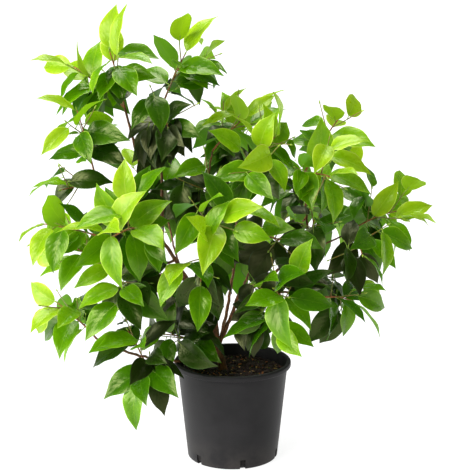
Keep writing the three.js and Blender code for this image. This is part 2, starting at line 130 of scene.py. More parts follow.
CELL_CENTRE = 0.62
CELL_REACH = 1.25
CELL_MARGIN = 0.6
NEARBY = 40

# Boughs: the parent, where on it they start, their tip, arch and radius, as in the solids
BOUGHS = {
    "left_stem": ("trunk", 1, (-125, 10, 385), 12, 4.4),
    "left_leader": ("left_stem", 1, (-179, 20, 600), 0, 3.2),
    "middle_leader": ("left_stem", 0.93, (-122, 62, 590), -10, 3),
    "shoulder_bough": ("left_stem", 0.98, (-222, -30, 478), -18, 2.4),
    "left_front_bough": ("left_stem", 0.72, (-200, -105, 402), -22, 2.6),
    "left_low_bough": ("left_stem", 0.5, (-185, -25, 309), 14, 2.8),
    "bottom_left_bough": ("trunk", 0.55, (-225, -66, 226), -22, 3),
    "drooping_bough": ("bottom_left_bough", 0.55, (-141, -84, 184), 2, 1.9),
    "centre_stem": ("trunk", 0.97, (-49, 30, 425), 0, 3.8),
    "centre_top_bough": ("centre_stem", 1, (-34, 34, 525), 0, 2.4),
    "centre_right_bough": ("centre_stem", 0.96, (28, 0, 500), -12, 2.4),
    "front_bough": ("centre_stem", 0.55, (-52, -115, 392), -16, 2.6),
    "right_stem": ("trunk", 0.9, (9, -6, 284), -6, 4.2),
    "right_leader": ("right_stem", 1, (129, 10, 373), -8, 3.2),
    "right_top_bough": ("right_leader", 1, (118, 12, 488), 0, 2.5),
    "right_side_bough": ("right_leader", 0.95, (200, 0, 398), -8, 2.2),
    "right_low_bough": ("right_stem", 0.95, (146, -58, 296), 10, 2.6),
    "right_front_bough": ("right_low_bough", 0.45, (92, -120, 292), 6, 2),
    "inner_bough": ("right_stem", 0.98, (52, -38, 392), -4, 2.6),
    "back_stem": ("trunk", 0.85, (6, 118, 330), -14, 3.6),
    "back_left_bough": ("left_stem", 0.55, (-118, 140, 405), -20, 2.4),
    "back_top_bough": ("back_stem", 1, (8, 152, 478), 0, 2.6),
    "back_right_bough": ("back_stem", 0.95, (128, 132, 388), -10, 2.4),
}

# Masses of foliage: the bough, the stem's end, twigs, spread and seed, as in the solids, and how
# young the leaves of the mass are, from 0 for last year's to 1 for this season's flush. Masses deep
# in the crown are set low, which also paints their leaves darker as shade.
MASSES = {
    "top_left": ("left_leader", (-200, -5, 695), 3, 95, 337, 0.85),
    "top_left_shoot": ("left_leader", (-265, 50, 665), 2, 95, 743, 0.8),
    "top_middle": ("middle_leader", (-80, 50, 685), 4, 100, 158, 0.7),
    "upper_front": ("middle_leader", (-105, -35, 575), 4, 95, 85, 0.25),
    "left_shoulder": ("shoulder_bough", (-250, -55, 605), 3, 85, 386, 0.75),
    "shoulder_side": ("shoulder_bough", (-275, -80, 480), 3, 75, 283, 0.5),
    "left_side": ("left_front_bough", (-300, -110, 430), 3, 80, 45, 0.8),
    "front_left": ("left_front_bough", (-150, -185, 440), 4, 100, 593, 0.7),
    "left_low": ("left_low_bough", (-255, -65, 380), 4, 95, 73, 0.45),
    "left_low_front": ("left_low_bough", (-175, -145, 335), 3, 95, 557, 0.35),
    "bottom_left": ("bottom_left_bough", (-290, -55, 285), 3, 80, 95, 0.75),
    "drooping": ("drooping_bough", (-135, -115, 190), 2, 85, 286, 0.05),
    "bottom_left_inner": ("drooping_bough", (-170, -100, 250), 3, 85, 462, 0.25),
    "low_centre": ("trunk", (-125, -50, 230), 3, 100, 651, 0.15),
    "centre_top": ("centre_top_bough", (20, 45, 580), 4, 95, 515, 0.85),
    "centre_right_top": ("centre_right_bough", (70, -35, 560), 4, 95, 1, 0.9),
    "centre_right_front": ("centre_right_bough", (45, -95, 510), 4, 95, 124, 0.6),
    "front_centre": ("front_bough", (-20, -185, 455), 4, 90, 729, 0.6),
    "front_low_centre": ("front_bough", (-50, -155, 345), 3, 85, 117, 0.35),
    "lower_right": ("right_front_bough", (65, -175, 340), 4, 90, 434, 0.3),
    "inner_right": ("inner_bough", (80, -95, 400), 4, 90, 428, 0.1),
    "inner_top": ("centre_stem", (-35, -60, 495), 4, 85, 872, 0.2),
    "inner_side": ("right_leader", (135, -45, 425), 4, 95, 706, 0.1),
    "right_top": ("right_top_bough", (180, 25, 585), 4, 80, 110, 0.9),
    "right_top_front": ("right_top_bough", (155, -105, 505), 4, 90, 354, 0.85),
    "right_side": ("right_side_bough", (280, 45, 420), 4, 95, 639, 0.7),
    "right_side_low": ("right_side_bough", (210, -90, 375), 3, 85, 800, 0.35),
    "right_low": ("right_low_bough", (200, -20, 280), 4, 85, 130, 0.5),
    "front_right_low": ("right_front_bough", (70, -130, 280), 3, 85, 162, 0.5),
    "back_left": ("back_left_bough", (-140, 200, 435), 4, 95, 602, 0.5),
    "back_low": ("back_stem", (10, 220, 335), 4, 105, 549, 0.4),
    "back_top": ("back_top_bough", (0, 175, 540), 4, 110, 547, 0.6),
    "back_right": ("back_right_bough", (155, 200, 420), 4, 120, 676, 0.5),
}

# What the solids are too coarse for: fine twigs, and leaves in the room that is left
FINE_SEED = 5000
FINE_SPACING = 16
FINE_LENGTHS = (15, 30)
SHORTEST_FINE = 9
FINE_RADIUS = 0.8
FINE_TIP_RADIUS = 0.5
FINE_SHARES = (0.25, 0.97)
FINE_LEAF_SIZE = 0.78
FILL_LEAF_SIZE = 0.98
FINE_ROOM = 0.2
FINE_CLEAR = 2
FINE_DEPTH = -6  # the added leaves stay this far on the crown's side of a mass's middle

# The real blade's form, as shares of the leaf's length
BLADE_FOOT = 0.1
BLADE_HALF_WIDTH = 0.243
BLADE_RISE, BLADE_FALL = 0.6, 0.95  # how soon the blade widens, and how soon it narrows
BLADE_THINNEST = 0.006
DRIP_START, DRIP_SPAN, DRIP_NARROWS = 0.7, 0.25, 0.3
BLADE_CUP = 0.4
BLADE_ROUND = 0.2
BLADE_ARCH = 0.05
EDGE_WAVE = 0.013
WAVE_FADE = 12  # the wave dies out where the blade is narrow
TIP_HOOK = 0.72
HOOK_RANGE = (0.1, 0.55)
WIDTH_RANGE = (0.9, 1.08)
WAVE_RANGE = (13, 19)
TIP_SKEW = 0.035
BLADE_TWIST = 0.22
BLADE_ROWS = 15
BLADE_COLUMNS = (-1, -0.945, -0.68, -0.36, 0, 0.36, 0.68, 0.945, 1)
MIDRIB_COLUMN = 4
PETIOLE_RADIUS = 0.85
PETIOLE_TAPER = np.array([1.15, 0.95, 0.9, 0.75, 0.6])
PETIOLE_BEND = 0.4
MIDRIB_DEPTH = 0.3
BUD_LENGTH = 8
BUD_PROFILE = ((0, 0.55), (0.2, 1.25), (0.45, 1.35), (0.7, 0.85), (0.88, 0.35), (1, 0.04))
FINE_BUD_SIZE = 0.6

# Bark that is modelled, and the swelling at old leaf scars
BOUGH_STEP = 7
BOUGH_WANDER = 0.5
TRUNK_START = 0.04
BARK_FIT = 0.97  # leaves room for the relief
BARK_VOXEL = 0.95
BARK_RELIEF = 0.7
FISSURE_SIZE = 4.5
SCAR_SPACING = 17
SCAR_SWELL = 0.1
KNOT_SWELL = 0.16
STEM_STEP, STEM_SWAY, TWIG_SWAY = 6, 0.8, 0.5


# -------- numbers and directions
class Stream:
    """A repeatable stream of numbers from 0 to 1, the same here as in the solids."""

    SPAN = 2**32
    SEED_FACTOR, SEED_START = 7919, 12345
    FACTOR, STEP = 1664525, 1013904223

    def __init__(self, seed):
        self.state = (seed * self.SEED_FACTOR + self.SEED_START) % self.SPAN
        self()

    def __call__(self):
        self.state = (self.state * self.FACTOR + self.STEP) % self.SPAN
        return self.state / self.SPAN


def unit(v):
    return v / np.linalg.norm(v)


def lerp(ends, share):
    return (1 - share) * ends[0] + share * ends[1]


def square_to(v, axis):
    """The part of v that is square to axis, at length 1."""
    return unit(v - axis * (v @ axis))


def turned(v, axis, angle):
    """v turned about a unit axis."""
    c, s = math.cos(angle), math.sin(angle)
    return v * c + np.cross(axis, v) * s + axis * (axis @ v) * (1 - c)


def first_side(axis, steep=STEEP):
    """The direction square to an axis from which turns about it are measured."""
    return square_to(SIDEWAYS if abs(axis[2]) > steep else UP, axis)


# -------- limbs
class Limb:
    """A curved limb: its centre line and how thick it is from foot to tip."""

    def __init__(self, foot, tip, arch, radius, tip_radius):
        self.foot = np.asarray(foot, float)
        self.tip = np.asarray(tip, float)
        self.middle = self.foot + (self.tip - self.foot) * 0.5 + UP * (arch * 2)
        self.length = float(np.linalg.norm(self.tip - self.foot))
        self.radii = (radius, tip_radius)

    def point(self, t):
        return (1 - t) ** 2 * self.foot + 2 * (1 - t) * t * self.middle + t**2 * self.tip

    def axis(self, t):
        return unit(self.point(min(t + 1e-4, 1)) - self.point(max(t - 1e-4, 0)))

    def radius_at(self, t):
        return self.radii[0] + (self.radii[1] - self.radii[0]) * t

    def beads(self):
        """Rows of x, y, z and radius down the limb, close enough together to stand for it."""
        count = math.ceil(self.length / BEAD_SPACING)
        shares = [i / count for i in range(count + 1)]
        return np.array([[*self.point(t), self.radius_at(t)] for t in shares])


class Trunk(Limb):
    """The trunk, with a flared foot, leaning to its fork."""

    def __init__(self):
        foot = (*TRUNK_FOOT, SOIL_LEVEL - TRUNK_RADIUS)
        super().__init__(foot, TRUNK_FORK, 0, TRUNK_RADIUS, TRUNK_RADIUS)

    def radius_at(self, t):
        flare = 1 + (TRUNK_FLARE - 1) * math.exp(-t * FLARE_FADE)
        return TRUNK_RADIUS * (1 - TRUNK_TAPER * t) * flare


def grow_boughs():
    limbs = {"trunk": Trunk()}
    for name, (parent, at, tip, arch, radius) in BOUGHS.items():
        limbs[name] = Limb(limbs[parent].point(at), tip, arch, radius, radius * BOUGH_TAPER)
    return limbs


# -------- leaves
class Leaf:
    """A leaf at its axil: it leaves its axis at an angle and droops, with its face to the light."""

    def __init__(self, foot, axis, turn, tilt, droop, length, roll, curl):
        side = turned(first_side(axis), axis, turn)
        self.foot = foot
        self.forward = unit(axis * math.cos(tilt) + side * math.sin(tilt) - UP * droop)
        outward = unit(np.array([foot[0] - CROWN_AXIS[0], foot[1] - CROWN_AXIS[1], 0.0]))
        light = outward * LIGHT_OUTWARD + LIGHT + axis * LIGHT_ALONG
        self.face = turned(square_to(light, self.forward), self.forward, roll)
        self.across = np.cross(self.forward, self.face)
        self.length = length
        self.curl = curl
        self.middle = self.points([0.5], [0])[0]

    def points(self, along, side):
        """Points of the plain folded blade, at shares of its length."""
        along = np.asarray(along, float)[:, None]
        side = np.asarray(side, float)[:, None]
        rise = np.abs(side) * LEAF_FOLD - self.curl * along**2
        shape = self.forward * along + self.across * side + self.face * rise
        return self.foot + self.length * shape


STATION_AT, STATION_HALF = zip(*LEAF_STATIONS)
SAMPLE_ALONG = np.repeat(ALONG_SAMPLES, len(ACROSS_SAMPLES))
SAMPLE_HALF = np.interp(SAMPLE_ALONG, STATION_AT, STATION_HALF)
SAMPLE_SIDE = np.tile(ACROSS_SAMPLES, len(ALONG_SAMPLES)) * SAMPLE_HALF


def grow_leaves(piece, random, room_of, leaves, size):
    """The leaves of one stem or twig: the tip's leaf carries it on, and the rest wind round it."""
    count = max(3, round(piece.length * (1 - FIRST_LEAF) / NODE_SPACING + 1e-9) + 1)
    phase = random() * 2 * math.pi
    for i in range(count):
        share = (count - 1 - i) / (count - 1)
        at = FIRST_LEAF + (1 - FIRST_LEAF) * share * LAST_LEAF
        axis = piece.axis(at)
        foot = piece.point(at) - axis * AXIL_DEPTH
        best = None
        most_room = 0
        for attempt in range(LEAF_TRIES):
            turn = phase + i * GOLDEN_ANGLE + attempt * (LEAF_TURN + random())
            if i == 0:
                tilt = TIP_TILT * random()
                droop = TIP_DROOP * random()
            else:
                tilt = SIDE_TILT + SIDE_TILT_MORE * random()
                droop = SIDE_DROOP + SIDE_DROOP_MORE * random()
            share_of_full = LEAF_SIZE + LEAF_SIZE_MORE * random() - LEAF_SIZE_LOST * attempt
            length = size * LEAF_LENGTH * share_of_full
            roll = (random() - 0.5) * LEAF_ROLL
            curl = LEAF_CURL + LEAF_CURL_MORE * random()
            leaf = Leaf(foot, axis, turn, tilt, droop, length, roll, curl)
            room = room_of(leaf)
            if room > most_room:
                most_room = room
                best = leaf
        if best:
            best.share = share
            leaves.append(best)


# -------- masses of foliage
class Mass:
    """One mass of foliage, which keeps to a space of its own in the crown."""

    def __init__(self, name, limbs, row):
        parent, end, self.twigs, self.spread, self.seed, self.youth_and_light = row
        self.name = name
        start = limbs[parent].point(TRUNK_SPROUT if parent == "trunk" else 1)
        radius = min(STEM_RADIUS, limbs[parent].radius_at(1))
        arch = float(np.linalg.norm(np.subtract(end, start))) * STEM_ARCH
        self.stem = Limb(start, end, arch, radius, STEM_TIP_RADIUS)
        self.centre = self.stem.point(CELL_CENTRE)
        self.outward = unit(self.centre - np.array(CROWN_MIDDLE))
        self.axes = [self.stem]
        self.fine = []
        self.leaves = []

    def depth(self, points, masses):
        """How far inside the mass's own space each point lies."""
        def reach(mass):
            return ((points - mass.centre) ** 2).sum(1) - mass.spread**2

        own = reach(self)
        depth = self.spread * CELL_REACH - np.linalg.norm(points - self.centre, axis=1)
        for other in masses:
            if other is not self:
                between = 2 * np.linalg.norm(self.centre - other.centre)
                depth = np.minimum(depth, (reach(other) - own) / between)
        return depth

    def outness(self, point):
        """How far a point is from the mass's middle, away from the middle of the crown."""
        return float((point - self.centre) @ self.outward)

    def inside(self, points, margin, masses):
        return bool(((self.depth(points, masses) > margin) & ~in_pot(points)).all())


def in_pot(points):
    """Whether each point is too close to the pot, its mix or the floor."""
    reach = np.hypot(points[:, 0], points[:, 1])
    top = np.where(reach > RIM_RADIUS - RIM_REACH, POT_HEIGHT, SOIL_LEVEL)
    clear = (reach > RIM_RADIUS + PLANT_ROOM) | (points[:, 2] > top + PLANT_ROOM)
    return (points[:, 2] < PLANT_ROOM) | ~clear


def distances(points, others):
    """How far each of the points is from each of the others."""
    return np.linalg.norm(points[:, None, :] - others[None, :, :3], axis=2)


def grow_twig(stem, at, turn, random, room_for, lengths, shortest, radii):
    """A side twig from a stem, or None if it has no room."""
    axis = stem.axis(at)
    foot = stem.point(at)
    longest = lerp(lengths, random())
    sideways, along, up = TWIG_HEADING
    for attempt in range(TWIG_TRIES):
        side = turned(first_side(axis), axis, turn + attempt * TWIG_TURN)
        direction = unit(side * sideways + axis * along + UP * up)
        length = longest
        while length > shortest:
            twig = Limb(foot, foot + direction * length, 0, *radii)
            if room_for(twig.beads()[2:]):
                return twig
            length *= TWIG_SHORTER
    return None


def room_in(mass, masses, others, leaf, room, clear):
    """The room round a leaf, or 0 if it would leave the space or touch a limb or a leaf."""
    between = [float(np.linalg.norm(other.middle - leaf.middle)) for other in mass.leaves]
    closest = min([leaf.length] + between)
    if closest < leaf.length * room or not mass.inside(leaf.foot[None], AXIL_MARGIN, masses):
        return 0
    points = leaf.points(SAMPLE_ALONG, SAMPLE_SIDE)
    if not mass.inside(points, CELL_MARGIN, masses):
        return 0
    blade = points[np.linalg.norm(points - leaf.foot, axis=1) > leaf.length * STALK_SHARE]
    if (distances(blade, others) < others[:, 3] + LIMB_CLEAR).any():
        return 0
    for other in mass.leaves:
        if np.linalg.norm(other.foot - leaf.foot) < 2 * LEAF_LENGTH:
            if (distances(blade, other.blade) < clear).any():
                return 0
    leaf.blade = blade
    return closest


def grow_mass(mass, masses, limb_beads):
    """Twigs along the mass's stem, then leaves along them all, each kept where there is room."""
    random = Stream(mass.seed)
    stems = [other.stem.beads() for other in masses if other is not mass]
    nearby = np.concatenate([limb_beads] + stems)
    reach = mass.spread * CELL_REACH + NEARBY
    nearby = nearby[np.linalg.norm(nearby[:, :3] - mass.centre, axis=1) < reach]

    def room_for_twig(beads):
        if not mass.inside(beads[:, :3], TWIG_MARGIN, masses):
            return False
        least = nearby[:, 3] + TWIG_RADIUS + TWIG_CLEAR
        return not (distances(beads[:, :3], nearby) < least).any()

    phase = random() * 2 * math.pi
    for k in range(mass.twigs):
        at = lerp(TWIG_SHARES, (k + random() * TWIG_STRAY) / mass.twigs)
        twig = grow_twig(mass.stem, at, phase + k * GOLDEN_ANGLE, random, room_for_twig,
                         TWIG_LENGTHS, SHORTEST_TWIG, (TWIG_RADIUS, TWIG_TIP_RADIUS))
        if twig:
            mass.axes.append(twig)

    def dress(axes, stream, room, clear, size, limit):
        for axis in axes:
            rest = [other.beads() for other in mass.axes + mass.fine if other is not axis]
            others = np.concatenate([nearby] + rest)

            def room_of(leaf):
                if mass.outness(leaf.middle) > limit:
                    return 0
                return room_in(mass, masses, others, leaf, room, clear)

            before = len(mass.leaves)
            grow_leaves(axis, stream, room_of, mass.leaves, size)
            axis.leafy = len(mass.leaves) > before

    dress(mass.axes, random, LEAF_ROOM, LEAF_CLEAR, 1, math.inf)

    fine = Stream(mass.seed + FINE_SEED)
    for axis in mass.axes:
        count = round(axis.length / FINE_SPACING)
        for k in range(count):
            at = lerp(FINE_SHARES, (k + fine()) / count)
            twig = grow_twig(axis, at, fine() * 2 * math.pi, fine, room_for_twig,
                             FINE_LENGTHS, SHORTEST_FINE, (FINE_RADIUS, FINE_TIP_RADIUS))
            if twig and mass.outness(twig.tip) < FINE_DEPTH:
                mass.fine.append(twig)
    dress(mass.axes, fine, FINE_ROOM, FINE_CLEAR, FILL_LEAF_SIZE, FINE_DEPTH)
    dress(mass.fine, fine, FINE_ROOM, FINE_CLEAR, FINE_LEAF_SIZE, FINE_DEPTH)
    mass.fine = [axis for axis in mass.fine if axis.leafy]


def grow_shrub():
    limbs = grow_boughs()
    masses = [Mass(name, limbs, row) for name, row in MASSES.items()]
    limb_beads = np.concatenate([limb.beads() for limb in limbs.values()])
    for mass in masses:
        grow_mass(mass, masses, limb_beads)
    return limbs, masses


# -------- materials
WHITE = (1, 1, 1, 1)


def linear(hex_colour):
    """An sRGB hex colour as the linear colour that shaders take."""
    channels = [int(hex_colour[i:i + 2], 16) / 255 for i in (1, 3, 5)]
    return (*[c / 12.92 if c <= 0.04045 else ((c + 0.055) / 1.055) ** 2.4 for c in channels], 1.0)


def new_material(name):
    material = bpy.data.materials.new(name)
    material.use_nodes = True
    material.node_tree.nodes.clear()
    return material


def add(material, kind, links=None, **settings):
    """Adds a node. Settings are its properties, or its inputs' values by name or number."""
    node = material.node_tree.nodes.new("ShaderNode" + kind)
    inputs = settings.pop("inputs", {})
    for key, value in settings.items():
        setattr(node, key, value)
    for key, value in inputs.items():
        node.inputs[key].default_value = value
    for key, socket in (links or {}).items():
        material.node_tree.links.new(socket, node.inputs[key])
    return node


def mixed(material, share, low, high):
    """A colour that goes from low to high: each is a hex colour or a socket."""
    node = add(material, "Mix", data_type="RGBA")
    # A Mix node's sockets for colours are 6 and 7, and its factor is 0
    for index, value in ((0, share), (6, low), (7, high)):
        if isinstance(value, str):
            node.inputs[index].default_value = linear(value)
        elif isinstance(value, float):
            node.inputs[index].default_value = value
        else:
            material.node_tree.links.new(value, node.inputs[index])
    return node.outputs[2]


def calc(material, operation, *values, clamp=False):
    """One sum on numbers and sockets."""
    node = add(material, "Math", operation=operation, use_clamp=clamp)
    for i, value in enumerate(values):
        if isinstance(value, (int, float)):
            node.inputs[i].default_value = value
        else:
            material.node_tree.links.new(value, node.inputs[i])
    return node.outputs[0]


def noise(material, size_mm, detail=3.0, rough=0.55, place=None):
    """Noise with lumps of a real size, placed on the piece."""
    place = place or add(material, "TexCoord").outputs["Object"]
    inputs = {"Scale": 1 / (size_mm * MM), "Detail": detail, "Roughness": rough}
    return add(material, "TexNoise", {"Vector": place}, inputs=inputs).outputs["Fac"]


def ramp(material, value, low, high, to_low=0.0, to_high=1.0):
    """A value's stretch from low to high, spread evenly over another stretch."""
    inputs = {"From Min": low, "From Max": high, "To Min": to_low, "To Max": to_high}
    return add(material, "MapRange", {"Value": value}, inputs=inputs).outputs[0]


def height_above_floor(material):
    place = add(material, "TexCoord").outputs["Object"]
    return add(material, "SeparateXYZ", {0: place}).outputs["Z"]


def relief(material, height, depth_mm, strength=1.0):
    """The surface's normal, raised and sunk by a height."""
    return add(material, "Bump", {"Height": height},
               inputs={"Strength": strength, "Distance": depth_mm * MM}).outputs[0]


def finish_surface(material, shader):
    add(material, "OutputMaterial", {"Surface": shader.outputs[0]})
    return material


def finish_skin(material, links, inputs):
    """Ends a material whose whole surface is one Principled skin."""
    return finish_surface(material, add(material, "BsdfPrincipled", links, inputs=inputs))


WAX_TINT = (0.94, 1.0, 0.42, 1.0)  # the cuticle's gloss is greenish rather than white
VEIN_PAIRS = 7.0
VEIN_SLANT = 0.62
UNDERSIDE = "#70AE28"
LIGHT_THROUGH = 0.3  # the share of the light that the tissue lets through


def leaf_blade(name, colour, shade, glow, line, gloss):
    """A waxy camellia leaf: a hard, glossy upper skin over green tissue that light comes through.

    The tissue is darker beside the fine pale midrib and yellower at the margin. The lateral veins
    are sunk a little into the upper skin, which swells between them, and the swells are painted
    a little lighter, as painted light on the quilted skin. The underside is matt.
    """
    m = new_material(name)
    place = add(m, "SeparateXYZ", {0: add(m, "TexCoord").outputs["UV"]})
    side = calc(m, "ABSOLUTE", calc(m, "SUBTRACT", place.outputs["Y"], 0.5))
    slant = calc(m, "MULTIPLY", calc(m, "POWER", side, 0.8), VEIN_SLANT)
    along = calc(m, "SUBTRACT", place.outputs["X"], slant)
    vein = calc(m, "FRACT", calc(m, "MULTIPLY", along, VEIN_PAIRS))
    swell = calc(m, "SINE", calc(m, "MULTIPLY", vein, math.pi))
    patch = noise(m, 30)

    margin = calc(m, "MULTIPLY", calc(m, "POWER", side, 1.6), 2.2)
    # painted light: the swells between the veins are painted a little lighter
    light = calc(m, "ADD", margin, calc(m, "MULTIPLY", swell, 0.12))
    light = calc(m, "ADD", light, ramp(m, patch, 0.35, 0.65, -0.25, 0.35), clamp=True)
    top = mixed(m, light, shade, colour)
    top = mixed(m, ramp(m, side, 0.004, 0.016, 0.55, 0.0), top, line)
    under = mixed(m, 0.5, top, UNDERSIDE)
    back = add(m, "NewGeometry").outputs["Backfacing"]
    base = mixed(m, back, top, under)

    height = calc(m, "ADD", calc(m, "POWER", swell, 0.6), calc(m, "MULTIPLY", noise(m, 6), 0.7))
    normal = relief(m, height, 0.6, 0.26)

    rough = ramp(m, noise(m, 9), 0.3, 0.7, gloss, gloss + 0.1)
    rough = calc(m, "ADD", rough, calc(m, "MULTIPLY", back, 0.25))
    skin = add(m, "BsdfPrincipled", {"Base Color": base, "Roughness": rough, "Normal": normal},
               inputs={"IOR": 1.45, "Specular IOR Level": 0.75, "Specular Tint": WAX_TINT})
    through = add(m, "BsdfTranslucent", inputs={"Color": linear(glow)})
    both = add(m, "MixShader", {1: skin.outputs[0], 2: through.outputs[0]},
               inputs={0: LIGHT_THROUGH})
    return finish_surface(m, both)


def mottled(name, light, dark, roughness, grain, spread=(0.35, 0.65)):
    """A plain skin that varies between two colours."""
    m = new_material(name)
    base = mixed(m, ramp(m, noise(m, *grain), *spread), light, dark)
    return finish_skin(m, {"Base Color": base}, {"Roughness": roughness, "IOR": 1.45})


def leaf_line(name, pale, green):
    """The thin edge of a leaf: paler, tougher tissue with a soft shine, green in places. Part of
    its paleness is painted light, for light shining through the thin edge.
    """
    return mottled(name, pale, green, 0.45, (12,), (0.45, 0.7, 0.0, 0.8))


def green_shoot(name, light, dark):
    """This year's shoots and leaf stalks: smooth, round and a little shiny."""
    return mottled(name, light, dark, 0.42, (18,))


def chip(name, light, dark):
    """A flake of shredded bark or straw in the mix: dry, fibrous and matt."""
    return mottled(name, light, dark, 0.8, (3, 4.0, 0.7))


def bark(name, light, dark, grain_mm, depth_mm):
    """Thin young bark: smooth and brown, with fine lengthwise fissures and pale flecks."""
    m = new_material(name)
    place = add(m, "Mapping", {"Vector": add(m, "TexCoord").outputs["Object"]},
                inputs={"Scale": (1, 1, 0.28)}).outputs[0]
    streak = noise(m, grain_mm, 5.0, 0.65, place)
    blotch = noise(m, grain_mm * 7, 2.0)
    base = mixed(m, ramp(m, streak, 0.38, 0.62), dark, light)
    base = mixed(m, ramp(m, blotch, 0.55, 0.75, 0, 0.45), base, "#8E8268")
    normal = relief(m, streak, depth_mm, 0.8)
    return finish_skin(m, {"Base Color": base, "Normal": normal}, {"Roughness": 0.78, "IOR": 1.5})


def moulded_pot():
    """Injection-moulded polypropylene, coloured charcoal: satin, with a fine spark-eroded grain.

    Dust dulls it towards the foot, and handling has left faint scuffs.
    """
    m = new_material("moulded_polypropylene")
    place = add(m, "TexCoord").outputs["Object"]
    cloud = noise(m, 45, 4.0, 0.6)
    scuffed = add(m, "Mapping", {"Vector": place}, inputs={"Scale": (1, 1, 0.25)}).outputs[0]
    scuff = noise(m, 6, 6.0, 0.7, scuffed)
    base = mixed(m, ramp(m, cloud, 0.3, 0.7), "#262526", "#2D2C2D")
    base = mixed(m, ramp(m, scuff, 0.6, 0.8, 0, 0.3), base, "#3A3837")
    low = ramp(m, height_above_floor(m), 0.0, 50 * MM, 0.18, 0.0)
    base = mixed(m, calc(m, "MULTIPLY", low, ramp(m, cloud, 0.35, 0.65)), base, "#6A6259")
    rough = ramp(m, cloud, 0.3, 0.7, 0.4, 0.48)
    normal = relief(m, noise(m, 0.9, 2.0), 0.06, 0.6)
    return finish_skin(m, {"Base Color": base, "Roughness": rough, "Normal": normal},
                       {"IOR": 1.49, "Specular IOR Level": 0.12})


def potting_mix_surface():
    """Damp composted bark and peat: nearly black, crumbly and rough all over.

    It is painted blacker lower down, as shade where it shows through the drain slots.
    """
    m = new_material("composted_bark_mix")
    crumb = noise(m, 7, 5.0, 0.7)
    fine = noise(m, 2.2, 4.0, 0.7)
    base = mixed(m, ramp(m, crumb, 0.4, 0.6), "#0A0604", "#2C180D")
    base = mixed(m, ramp(m, fine, 0.58, 0.68, 0, 0.7), base, "#7A4622")
    # painted shade: near black low in the pot, where the drain slots show the mix
    painted_slot_shade = ramp(m, height_above_floor(m), 20 * MM, 120 * MM, 0.9, 0.0)
    base = mixed(m, painted_slot_shade, base, "#040302")
    normal = relief(m, calc(m, "ADD", crumb, calc(m, "MULTIPLY", fine, 0.5)), 2.5)
    return finish_skin(m, {"Base Color": base, "Normal": normal}, {"Roughness": 0.85, "IOR": 1.45})


def studio_floor():
    """A backlit table of matt white acrylic, which glows until shadows on it are faint."""
    m = new_material("matt_white_acrylic")
    base = mixed(m, ramp(m, noise(m, 400), 0.3, 0.7), "#8C8C8C", "#888888")
    return finish_skin(m, {"Base Color": base},
                       {"Roughness": 0.9, "Emission Color": WHITE, "Emission Strength": 0.88})


def studio_backdrop():
    """Seamless white paper, lit from the front until it is nearly white all over."""
    m = new_material("white_backdrop_paper")
    return finish_skin(m, {}, {"Base Color": linear("#F4F4F4"), "Roughness": 0.95,
                               "Emission Color": WHITE, "Emission Strength": 0.95})


# -------- meshes
def joined_mesh(name, points, faces, materials, slots=None, uvs=None, smooth=True):
    """A piece from arrays: points in millimetres, faces as rows of point numbers."""
    mesh = bpy.data.meshes.new(name)
    faces = [list(map(int, face)) for face in faces]
    mesh.from_pydata((np.asarray(points) * MM).tolist(), [], faces)
    for material in materials:
        mesh.materials.append(material)
    if slots is not None:
        mesh.polygons.foreach_set("material_index", np.asarray(slots, np.int32))
    if uvs is not None:
        layer = mesh.uv_layers.new(name="blade")
        corners = np.asarray(uvs, np.float32)[np.concatenate(faces)]
        layer.data.foreach_set("uv", corners.ravel())
    mesh.polygons.foreach_set("use_smooth", np.full(len(faces), smooth))
    mesh.update()
    piece = bpy.data.objects.new(name, mesh)
    bpy.context.scene.collection.objects.link(piece)
    return piece


def select_only(piece):
    bpy.ops.object.select_all(action="DESELECT")
    piece.select_set(True)
    bpy.context.view_layer.objects.active = piece


def apply_modifier(piece, kind, **settings):
    select_only(piece)
    modifier = piece.modifiers.new(kind.lower(), kind)
    for key, value in settings.items():
        setattr(modifier, key, value)
    bpy.ops.object.modifier_apply(modifier=modifier.name)


TUBE_STEEP = 0.7  # as STEEP, for a tube's first ring


def tubes(paths, sides):
    """Points and faces of round tubes, each along a list of (point, radius), closed at its ends."""
    points, faces = [], []
    turns = np.arange(sides) * 2 * math.pi / sides
    for path in paths:
        line = np.array([p for p, _ in path])
        along = np.gradient(line, axis=0)
        along /= np.linalg.norm(along, axis=1)[:, None]
        across = first_side(along[0], TUBE_STEEP)
        first = len(points)
        for (centre, radius), direction in zip(path, along):
            across = square_to(across, direction)
            third = np.cross(direction, across)
            spokes = [across * math.cos(a) + third * math.sin(a) for a in turns]
            points.extend(centre + radius * spoke for spoke in spokes)
        last = first + (len(path) - 1) * sides
        for ring in range(first, last, sides):
            for k in range(sides):
                a, b = ring + k, ring + (k + 1) % sides
                faces.append((a, b, b + sides, a + sides))
        faces.append(tuple(range(first + sides - 1, first - 1, -1)))
        faces.append(tuple(range(last, last + sides)))
    return points, faces


# -------- pot and mix
def pot_bore(z):
    """The inside radius of the pot at a height."""
    widening = RIM_RADIUS - LIP_OVERHANG - BASE_RADIUS
    return BASE_RADIUS + widening * z / POT_HEIGHT - POT_WALL


